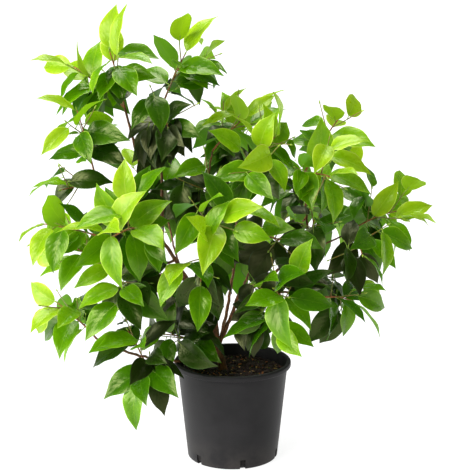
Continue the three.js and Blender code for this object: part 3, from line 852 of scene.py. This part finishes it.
def spun(name, profile, steps):
    """A turned shell: the profile, as (radius, height), is spun once round the pot's axis."""
    bpy.ops.object.select_all(action="DESELECT")
    bpy.ops.mesh.primitive_plane_add(size=MM, location=(0, 0, 0))
    piece = bpy.context.object
    piece.name = piece.data.name = name
    shape = bmesh.new()
    corners = [shape.verts.new((radius * MM, 0, height * MM)) for radius, height in profile]
    for a, b in zip(corners, corners[1:]):
        shape.edges.new((a, b))
    shape.to_mesh(piece.data)
    shape.free()
    bpy.ops.object.mode_set(mode="EDIT")
    bpy.ops.mesh.select_all(action="SELECT")
    bpy.ops.mesh.spin(steps=steps, angle=2 * math.pi, center=(0, 0, 0), axis=(0, 0, 1))
    bpy.ops.mesh.select_all(action="SELECT")
    bpy.ops.mesh.remove_doubles(threshold=0.05 * MM)
    bpy.ops.mesh.normals_make_consistent(inside=False)
    bpy.ops.object.mode_set(mode="OBJECT")
    return piece


def arc(centre, radius, start, end, steps):
    """Points on an arc of a profile, angles in degrees."""
    angles = np.radians(np.linspace(start, end, steps))
    return [(centre[0] + radius * math.cos(a), centre[1] + radius * math.sin(a)) for a in angles]


def build_pot():
    """The pot: a tapered shell with a rolled lip and six slots cut through its foot."""
    body_top = RIM_RADIUS - LIP_OVERHANG
    lip_foot = POT_HEIGHT - LIP_HEIGHT
    wall = [(lerp((BASE_RADIUS, body_top - 1), t), lerp((FOOT_ROUND, lip_foot - 1), t))
            for t in np.linspace(0.02, 1, 14)]
    profile = [(0, 0), (BASE_RADIUS * 0.6, 0)]
    profile += arc((BASE_RADIUS - FOOT_ROUND, FOOT_ROUND), FOOT_ROUND, -90, -5, 6) + wall
    profile += arc((body_top + 0.2, lip_foot - 1.2), 1.2, 180, 90, 4)
    profile += arc((RIM_RADIUS - 1.5, lip_foot + 1.5), 1.5, -90, 0, 5)
    profile += arc((RIM_RADIUS - 3.2, POT_HEIGHT - 3.2), 3.2, 0, 90, 7)
    profile += arc((body_top - 0.5, POT_HEIGHT - 2), 2, 90, 180, 6)
    inner = [(pot_bore(z), z) for z in np.linspace(POT_HEIGHT - 6, POT_FLOOR + 4, 12)]
    floor = (pot_bore(POT_FLOOR) - FOOT_ROUND, BASE_RADIUS * 0.5, 0)
    profile += inner + [(radius, POT_FLOOR) for radius in floor]
    pot = spun("nursery_pot", profile, 96)
    reach = BASE_RADIUS * MM
    for i in range(DRAIN_SLOTS):
        turn = DRAIN_FIRST_ANGLE + i * 2 * math.pi / DRAIN_SLOTS
        bpy.ops.object.select_all(action="DESELECT")
        place = (reach * math.cos(turn), reach * math.sin(turn), 0)
        bpy.ops.mesh.primitive_cube_add(size=1, location=place, rotation=(0, 0, turn))
        cutter = bpy.context.object
        cutter.scale = (DRAIN_DEPTH * MM, DRAIN_WIDTH * MM, 2 * DRAIN_HEIGHT * MM)
        bpy.context.view_layer.update()
        apply_modifier(pot, "BOOLEAN", operation="DIFFERENCE", solver="EXACT", object=cutter)
        bpy.data.objects.remove(cutter)
    select_only(pot)
    bpy.ops.object.shade_smooth_by_angle(angle=math.radians(35))
    pot.data.materials.append(moulded_pot())
    return pot


def soil_height(x, y):
    """The height of the lumpy top of the mix: broad swells with smaller ones on them."""
    broad = math.sin(x * 0.31) * math.cos(y * 0.27) * 1.6
    small = math.sin(x * 0.83 + 2) * math.sin(y * 0.71) * 0.9
    return SOIL_LEVEL + (broad + small)


def build_potting_mix():
    """The body of the mix, down to the pot's floor, with a crumbly top."""
    foot = POT_FLOOR + SOIL_CLEAR
    profile = [(0, foot), (pot_bore(POT_FLOOR) - FOOT_ROUND - SOIL_CLEAR, foot)]
    profile += [(pot_bore(z) - SOIL_CLEAR, z) for z in (POT_FLOOR + 4, 100, SOIL_LEVEL - 4)]
    radii = np.linspace(pot_bore(SOIL_LEVEL) - SOIL_CLEAR - 0.6, 2, 34)
    profile += [(radius, SOIL_LEVEL) for radius in radii] + [(0, SOIL_LEVEL)]
    mix = spun("potting_mix_body", profile, 110)
    random = np.random.default_rng(11)
    for vertex in mix.data.vertices:
        x, y, z = vertex.co / MM
        if z > SOIL_LEVEL - 1:
            vertex.co.z = (soil_height(x, y) + random.normal(0, SOIL_CRUMB)) * MM
    select_only(mix)
    bpy.ops.object.shade_smooth()
    mix.data.materials.append(potting_mix_surface())
    return mix


# What lies on the mix: how many, the seed, the lengths and the two colours
CHIPS = {
    "dark_bark_chip": (620, 21, (5, 15), "#341A0D", "#110A05"),
    "tan_bark_chip": (110, 22, (4, 10), "#A8662A", "#6E3C18"),
    "pale_straw_chip": (80, 23, (4, 11), "#C9A766", "#9A7A40"),
    "green_crumb": (70, 24, (3, 7), "#6E7A22", "#3E5018"),
}
CHIP_TRUNK_CLEAR = 14
CHIP_RIM_CLEAR = 5
CHIP_LIFT = 0.6
CHIP_WIDTHS, CHIP_HEIGHTS = (0.18, 0.5), (0.12, 0.3)  # shares of the length
CHIP_RAGGED = (0.75, 1.2)
CHIP_PITCH = 0.3


def build_chips(name, count, seed, lengths, material):
    """Shreds of bark, fibre and grit that lie on the mix."""
    random = np.random.default_rng(seed)
    bm = bmesh.new()
    bmesh.ops.create_icosphere(bm, subdivisions=1, radius=1)
    ball = np.array([v.co[:] for v in bm.verts])
    ball_faces = np.array([[v.index for v in f.verts] for f in bm.faces])
    bm.free()
    points, faces = [], []
    limit = pot_bore(SOIL_LEVEL) - CHIP_RIM_CLEAR
    for _ in range(count):
        reach, turn = limit * math.sqrt(random.random()), random.random() * 2 * math.pi
        x, y = reach * math.cos(turn), reach * math.sin(turn)
        if math.hypot(x - TRUNK_FOOT[0], y - TRUNK_FOOT[1]) < CHIP_TRUNK_CLEAR:
            continue
        length = random.uniform(*lengths)
        width = length * random.uniform(*CHIP_WIDTHS)
        height = length * random.uniform(*CHIP_HEIGHTS)
        scale = np.array([length, width, height]) / 2
        spin, pitch = random.random() * 2 * math.pi, random.normal(0, CHIP_PITCH)
        chip_points = ball * scale * random.uniform(*CHIP_RAGGED, (len(ball), 1))
        c, s = math.cos(pitch), math.sin(pitch)
        chip_points = chip_points @ np.array([[c, 0, s], [0, 1, 0], [-s, 0, c]])
        c, s = math.cos(spin), math.sin(spin)
        chip_points = chip_points @ np.array([[c, s, 0], [-s, c, 0], [0, 0, 1]])
        centre = np.array([x, y, soil_height(x, y) + CHIP_LIFT])
        faces.extend(ball_faces + len(points))
        points.extend(chip_points + centre)
    return joined_mesh(name, points, faces, [material], smooth=False)


# -------- trunk, boughs, twigs, buds
def build_trunk_and_boughs(limbs):
    """The trunk and boughs as one skin: swollen at the nodes and forks, with bark relief."""
    curve = bpy.data.curves.new("trunk_and_boughs", "CURVE")
    curve.dimensions = "3D"
    curve.bevel_depth = MM
    curve.bevel_resolution = 4
    curve.use_fill_caps = True
    random = np.random.default_rng(3)
    for name, limb in limbs.items():
        count = max(10, round(limb.length / BOUGH_STEP))
        spline = curve.splines.new("POLY")
        spline.points.add(count)
        wander = random.normal(0, BOUGH_WANDER, (count + 1, 3)) * (0 if name == "trunk" else 1)
        start = TRUNK_START if name == "trunk" else 0
        for i, point in enumerate(spline.points):
            t = lerp((start, 1), i / count)
            ends = min(1, 6 * t * (1 - t))
            scar = max(0, math.cos(t * limb.length * 2 * math.pi / SCAR_SPACING))
            point.co = (*((limb.point(t) + wander[i] * ends) * MM), 1)
            point.radius = limb.radius_at(t) * (1 + SCAR_SWELL * scar**4) * BARK_FIT
    piece = bpy.data.objects.new("trunk_and_boughs", curve)
    bpy.context.scene.collection.objects.link(piece)
    select_only(piece)
    bpy.ops.object.convert(target="MESH")
    piece = bpy.context.object
    apply_modifier(piece, "REMESH", mode="VOXEL", voxel_size=BARK_VOXEL * MM)
    apply_modifier(piece, "SMOOTH", factor=0.5, iterations=3)
    fissures = bpy.data.textures.new("bark_fissures", "CLOUDS")
    fissures.noise_scale = FISSURE_SIZE * MM
    fissures.noise_depth = 3
    apply_modifier(piece, "DISPLACE", texture=fissures, strength=BARK_RELIEF * MM, mid_level=0.55)
    select_only(piece)
    bpy.ops.object.shade_smooth()
    piece.data.materials.clear()
    piece.data.materials.append(bark("thin_brown_bark", "#8E5A32", "#4A2E1A", 2.4, 0.5))
    return piece


def axis_path(axis, steps, sway=0.0, phase=0.0):
    """A stem's or twig's centre line with its radius, a little swollen where leaves join it."""
    path = []
    for i in range(steps + 1):
        t = i / steps
        bend = sway * math.sin(phase + 5 * t) * min(1, 5 * t * (1 - t))
        knot = max(0, math.cos(t * axis.length * 2 * math.pi / NODE_SPACING))
        path.append((axis.point(t) + UP * bend, axis.radius_at(t) * (1 + KNOT_SWELL * knot**3)))
    return path


def build_twigs(masses):
    """Brown stems, the green twigs of this year and the last, and the finest twigs."""
    steps = [max(8, round(mass.stem.length / STEM_STEP)) for mass in masses]
    stems = [axis_path(mass.stem, count, STEM_SWAY, mass.seed)
             for mass, count in zip(masses, steps)]
    twigs = [axis_path(axis, 9, TWIG_SWAY, i)
             for mass in masses for i, axis in enumerate(mass.axes[1:])]
    fine = [axis_path(axis, 5) for mass in masses for axis in mass.fine]
    brown = bark("young_brown_bark", "#A8642E", "#6A3E1C", 2.0, 0.3)
    green = green_shoot("green_twig_skin", "#7C8A30", "#8A6A34")
    finest = green_shoot("fine_twig_skin", "#7FA32C", "#5F8A20")
    return [joined_mesh("foliage_stems", *tubes(stems, 8), [brown]),
            joined_mesh("green_twigs", *tubes(twigs, 7), [green]),
            joined_mesh("fine_twigs", *tubes(fine, 6), [finest])]


def build_buds(masses):
    """Pointed winter buds at the tips of twigs."""
    paths = []
    for mass in masses:
        for axis in mass.axes + mass.fine:
            heading = axis.axis(1)
            size = BUD_LENGTH * (1 if axis in mass.axes else FINE_BUD_SIZE)
            paths.append([(axis.tip + heading * size * t, radius * size / BUD_LENGTH)
                          for t, radius in BUD_PROFILE])
    scales = green_shoot("bud_scales", "#A9C23A", "#86A52C")
    return joined_mesh("leaf_buds", *tubes(paths, 6), [scales])


# -------- leaves
# Each age's colour, its shade beside the midrib, the light through it, its veins' and edge's
# colour, and its roughness; on the edge that colour is partly painted light
AGES = {
    "new": ("#A8CA18", "#7CAA08", "#A8D210", "#CCE058", 0.24),
    "young": ("#88B810", "#568E04", "#94CA08", "#B4D03C", 0.22),
    "fresh": ("#669A00", "#3C7000", "#74B602", "#90B81E", 0.2),
    "grown": ("#447200", "#264E00", "#4E9602", "#66941A", 0.2),
    "mature": ("#243F04", "#162B00", "#285804", "#40661C", 0.25),
    "old": ("#1A2408", "#0F1804", "#203606", "#2E4018", 0.3),
}
AGE_LIMITS = (0.8, 0.65, 0.5, 0.36, 0.22)
FLUSH_DEPTH = 65
FLUSH_SHARE, TIP_SHARE, OUT_SHARE = 0.6, 0.12, 0.36
YOUTH_SPREAD, YOUTH_LIFT = 0.1, 0.07


def age_and_shade_of(leaf, mass, random):
    """A leaf's age, by its mass's flush, its place on its axis and how far out it is. Leaves
    further in go older and darker, partly as painted shade of the crown's inside.
    """
    out = min(1, max(-1, mass.outness(leaf.middle) / FLUSH_DEPTH))
    # leaves further in are darker: partly older, partly painted shade of the crown's inside
    youth_and_light = FLUSH_SHARE * mass.youth_and_light + TIP_SHARE * leaf.share + OUT_SHARE * out
    youth_and_light = youth_and_light + random.normal(0, YOUTH_SPREAD) + YOUTH_LIFT
    return sum(youth_and_light < limit for limit in AGE_LIMITS)


def blade_half_width(s):
    """Half the real blade's width: an oval that narrows to a drip tip."""
    def oval(t):
        return t**BLADE_RISE * (1 - t) ** BLADE_FALL

    full = oval(s) / oval(BLADE_RISE / (BLADE_RISE + BLADE_FALL))
    drip = np.clip((s - DRIP_START) / DRIP_SPAN, 0, 1)
    return BLADE_HALF_WIDTH * full * (1 - DRIP_NARROWS * drip**2 * (3 - 2 * drip))


def blade_grid():
    """Rows and columns of the blade's points, as shares along and across, and its faces."""
    rows = 0.5 * (1 - np.cos(np.pi * np.arange(BLADE_ROWS + 1) / BLADE_ROWS))
    s, v = np.meshgrid(rows, BLADE_COLUMNS, indexing="ij")
    columns = len(BLADE_COLUMNS)
    first = np.arange(BLADE_ROWS)[:, None] * columns + np.arange(columns - 1)[None, :]
    faces = np.stack([first, first + 1, first + columns + 1, first + columns], -1).reshape(-1, 4)
    strip = np.tile(np.arange(columns - 1), BLADE_ROWS)
    slots = np.where((strip == 0) | (strip == columns - 2), 1, 0)
    return s.ravel(), v.ravel(), faces, slots


def blade_shape(leaf, s, v, random):
    """The real leaf on its plain blade: cupped, arched, its tip hooked down and its edge waved."""
    u = BLADE_FOOT + (1 - BLADE_FOOT) * s
    half = blade_half_width(np.clip(s, 0, 1)) * random.uniform(*WIDTH_RANGE)
    half = np.maximum(half, BLADE_THINNEST)
    phase = u * random.uniform(*WAVE_RANGE) + random.uniform(0, 6.3) + 1.5 * np.sign(v)
    wave = EDGE_WAVE * np.sin(phase) * v**2
    rise = half * (BLADE_CUP * np.abs(v) - BLADE_ROUND * v**2)
    rise = rise + wave * np.minimum(1, half * WAVE_FADE)
    rise += -leaf.curl * u**2 - random.uniform(*HOOK_RANGE) * np.maximum(0, u - TIP_HOOK) ** 2
    rise += BLADE_ARCH * np.sin(math.pi * u)
    side = half * v + random.normal(0, TIP_SKEW) * u**2
    twist = random.normal(0, BLADE_TWIST) * u
    cos, sin = np.cos(twist)[:, None], np.sin(twist)[:, None]
    across = leaf.across * cos + leaf.face * sin
    face = leaf.face * cos - leaf.across * sin
    shape = leaf.forward * u[:, None] + across * side[:, None] + face * rise[:, None]
    return leaf.foot + leaf.length * shape


def build_leaves(masses):
    """Every leaf, joined by age, and their stalks."""
    s, v, faces, slots = blade_grid()
    uv = np.column_stack([BLADE_FOOT + (1 - BLADE_FOOT) * s, v / 2 + 0.5])
    groups = {age: [] for age in AGES}
    stalks = []
    for mass in masses:
        random = np.random.default_rng(mass.seed)
        for leaf in mass.leaves:
            age = list(AGES)[age_and_shade_of(leaf, mass, random)]
            points = blade_shape(leaf, s, v, random)
            groups[age].append(points)
            rows = points.reshape(BLADE_ROWS + 1, len(BLADE_COLUMNS), 3)
            ribs = rows[:, MIDRIB_COLUMN] - leaf.face * MIDRIB_DEPTH
            bend = leaf.foot + (ribs[0] - leaf.foot) * 0.5 + UP * PETIOLE_BEND
            radii = PETIOLE_RADIUS * leaf.length / LEAF_LENGTH * PETIOLE_TAPER
            stalks.append(list(zip([leaf.foot, bend, ribs[0], ribs[2], ribs[4]], radii)))
    pieces = []
    for age, (colour, shade, glow, line, gloss) in AGES.items():
        points = np.concatenate(groups[age])
        count = len(groups[age])
        step = np.arange(count)[:, None, None] * len(s)
        # the edge strips are painted pale, partly as painted light through the thin edge
        materials = [leaf_blade(f"{age}_leaf_skin", colour, shade, glow, line, gloss),
                     leaf_line(f"{age}_leaf_edge", line, colour)]
        leaf_faces = (faces[None] + step).reshape(-1, 4)
        pieces.append(joined_mesh(f"{age}_leaves", points, leaf_faces, materials,
                                  np.tile(slots, count), np.tile(uv, (count, 1))))
    skin = green_shoot("leaf_stalk_skin", "#9DBB3C", "#7C9A34")
    pieces.append(joined_mesh("leaf_stalks", *tubes(stalks, 6), [skin]))
    return pieces


# -------- stage, lights and camera
CAMERA_AT = (0.0041, -2.298, 0.888)
CAMERA_PITCH = 12.27
CAMERA_LENS = 107.23
CAMERA_SENSOR = 36
CAMERA_REACH = 100

# Each softbox's energy, the angle it fills, and its turn about the X and Y axes
SOFTBOXES = {
    "key_softbox": (2.2, 30, 34, -32),
    "overhead_softbox": (2.6, 42, -26, -6),
    "side_softbox": (2.6, 40, 20, -74),
    "rim_softbox": (2.2, 50, 4, -86),
}
WORLD_STRENGTH = 0.14
STUDIO_RADIUS = 30


def build_stage():
    """The floor, the backdrop, the lights and the camera."""
    bpy.ops.object.select_all(action="DESELECT")
    bpy.ops.mesh.primitive_plane_add(size=2 * STUDIO_RADIUS, location=(0, 0, 0))
    floor = bpy.context.object
    floor.name = "studio_floor"
    floor.data.materials.append(studio_floor())

    # The backdrop is only looked at: it neither lights the shrub nor shades it
    bpy.ops.object.select_all(action="DESELECT")
    bpy.ops.mesh.primitive_uv_sphere_add(segments=48, ring_count=24, radius=0.9 * STUDIO_RADIUS)
    backdrop = bpy.context.object
    backdrop.name = "studio_backdrop"
    backdrop.data.materials.append(studio_backdrop())
    for kind in ("diffuse", "glossy", "transmission", "volume_scatter", "shadow"):
        setattr(backdrop, f"visible_{kind}", False)

    world = bpy.data.worlds.new("studio")
    bpy.context.scene.world = world
    world.use_nodes = True
    background = world.node_tree.nodes["Background"]
    background.inputs["Color"].default_value = WHITE
    background.inputs["Strength"].default_value = WORLD_STRENGTH

    for name, (energy, spread, tilt, lean) in SOFTBOXES.items():
        light = bpy.data.lights.new(name, "SUN")
        light.energy = energy
        light.angle = math.radians(spread)
        lamp = bpy.data.objects.new(name, light)
        lamp.rotation_euler = (math.radians(tilt), math.radians(lean), 0)
        bpy.context.scene.collection.objects.link(lamp)

    camera = bpy.data.cameras.new("camera")
    camera.lens = CAMERA_LENS
    camera.sensor_width = CAMERA_SENSOR
    camera.clip_end = CAMERA_REACH
    camera_object = bpy.data.objects.new("camera", camera)
    camera_object.location = CAMERA_AT
    camera_object.rotation_euler = (math.radians(90 - CAMERA_PITCH), 0, 0)
    bpy.context.scene.collection.objects.link(camera_object)
    bpy.context.scene.camera = camera_object
    bpy.context.scene.view_settings.view_transform = "Standard"


# -------- the shrub
def settle(pieces, nodes):
    """Each piece rides on the part's one body and stands for its nodes."""
    for piece in pieces:
        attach(piece, "root")
        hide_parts(*nodes)


build_stage()
limbs, masses = grow_shrub()

foliage_nodes = [f"foliage_{mass.name}" for mass in masses]
settle([build_pot()], ["pot"])
chips = [build_chips(f"{kind}s", count, seed, lengths, chip(kind, *colours))
         for kind, (count, seed, lengths, *colours) in CHIPS.items()]
settle([build_potting_mix(), *chips], ["potting_mix"])
settle([build_trunk_and_boughs(limbs)], list(limbs))
settle(build_twigs(masses), foliage_nodes)
settle([build_buds(masses), *build_leaves(masses)], foliage_nodes)
